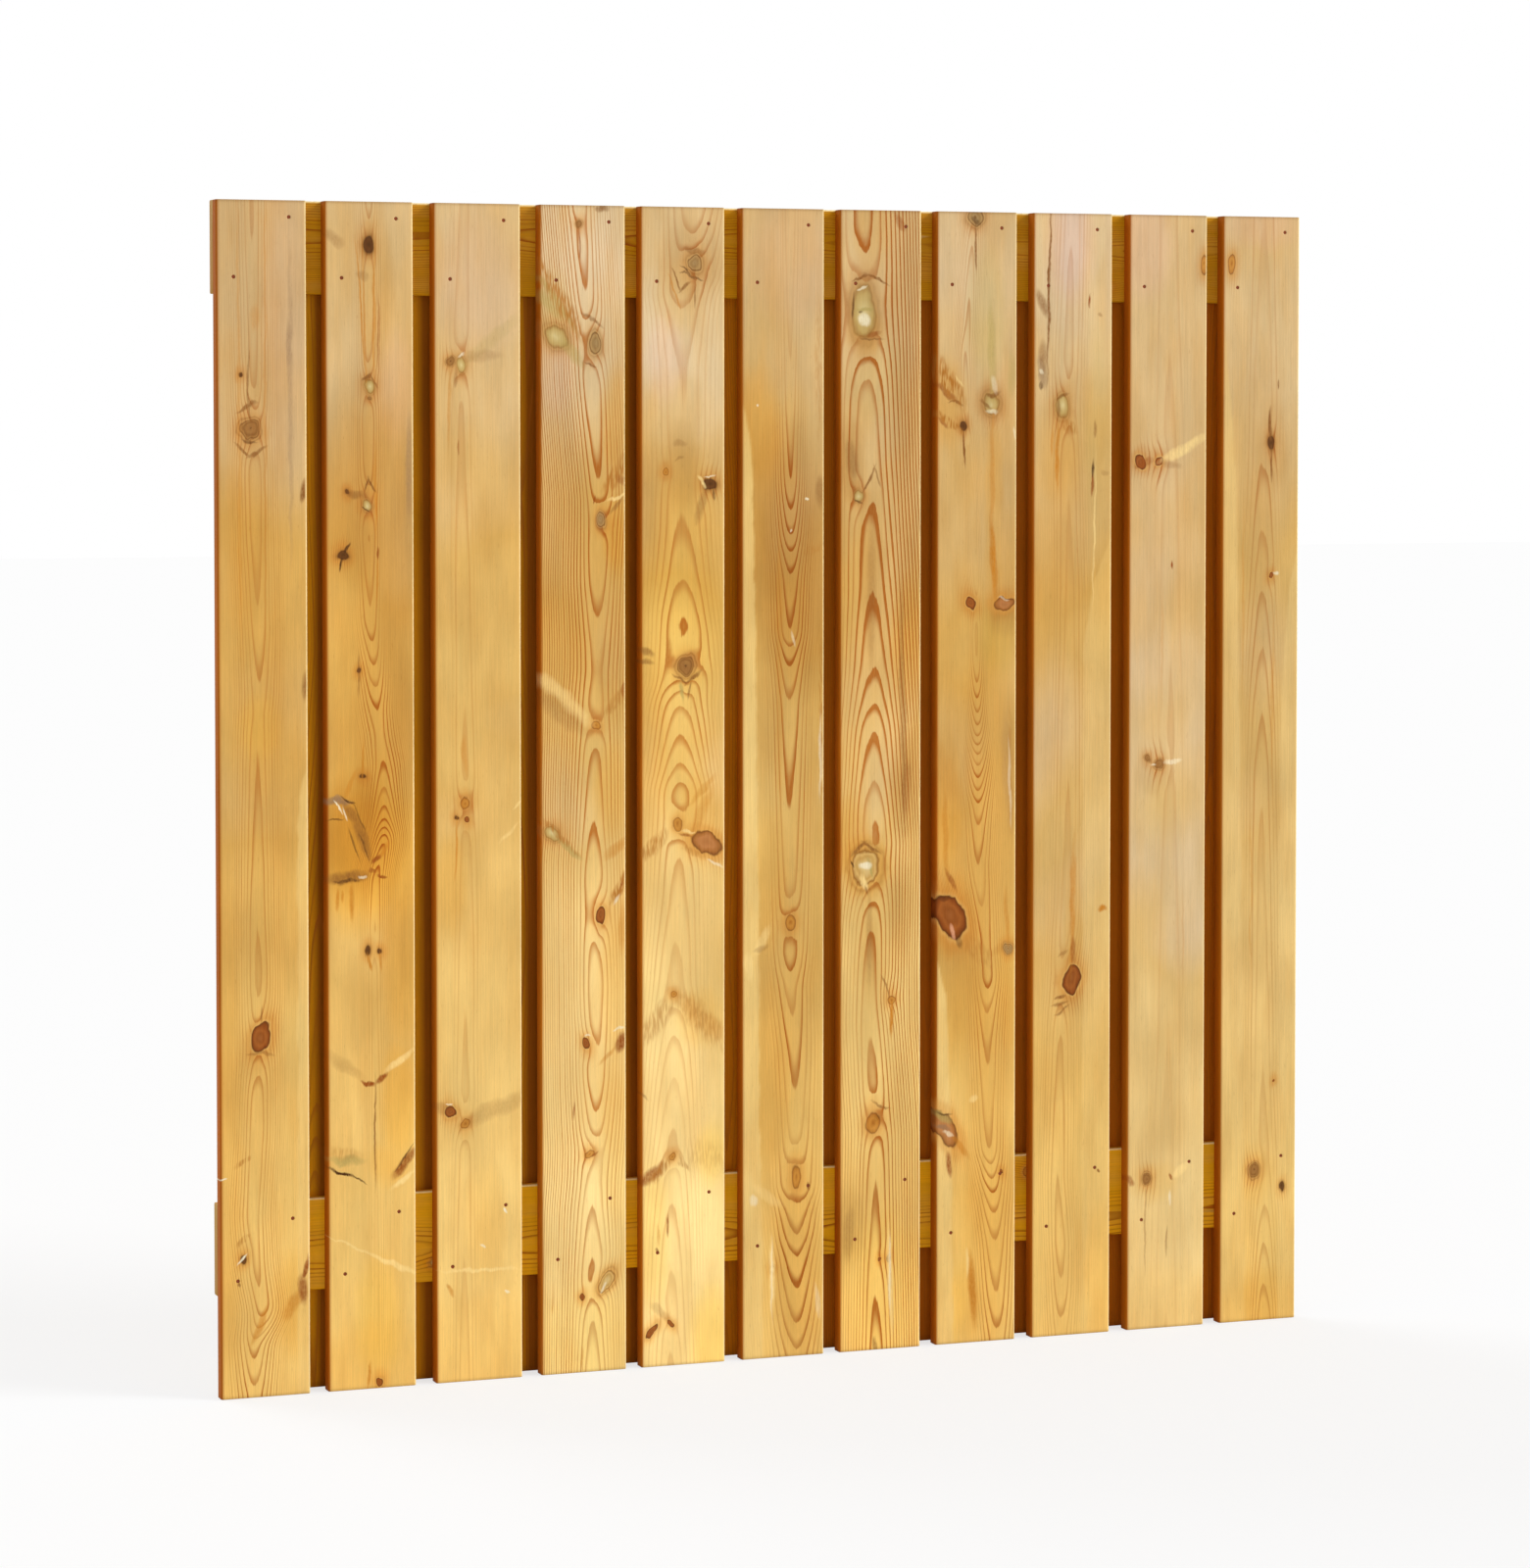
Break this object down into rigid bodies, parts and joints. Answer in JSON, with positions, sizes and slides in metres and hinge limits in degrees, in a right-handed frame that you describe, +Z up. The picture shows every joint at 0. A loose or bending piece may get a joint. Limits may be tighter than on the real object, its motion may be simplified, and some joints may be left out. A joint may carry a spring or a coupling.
{
  "type": "wooden fence panel",
  "caption": "Double-sided wooden fence panel: upright boards nailed to both faces of lying rails, back boards behind the gaps of the front ones.",
  "frame": {"origin": "on the ground under the middle of the panel, in the middle plane of the rails", "axes": "+Z up along the boards; +X along the rails, to the right for someone who looks at the front; +Y through the panel, from the front boards to the back boards"},
  "size_m": [1.8, 0.06, 1.8],
  "materials": {
    "pine_front": "planed, treated",
    "pine_back": "planed, treated",
    "pine_rail": "planed, treated",
    "nail_steel": "dull, sunk"
  },
  "bodies": {
    "root": {"front_board_01": "pine_front", "front_board_02": "pine_front", "front_board_03": "pine_front", "front_board_04": "pine_front", "front_board_05": "pine_front", "front_board_06": "pine_front", "front_board_07": "pine_front", "front_board_08": "pine_front", "front_board_09": "pine_front", "front_board_10": "pine_front", "front_board_11": "pine_front", "back_board_01": "pine_back", "back_board_02": "pine_back", "back_board_03": "pine_back", "back_board_04": "pine_back", "back_board_05": "pine_back", "back_board_06": "pine_back", "back_board_07": "pine_back", "back_board_08": "pine_back", "back_board_09": "pine_back", "back_board_10": "pine_back", "top_rail": "pine_rail", "bottom_rail": "pine_rail", "front_nails_top": "nail_steel", "front_nails_bottom": "nail_steel", "back_nails_top": "nail_steel", "back_nails_bottom": "nail_steel"}
  },
  "joints": []
}
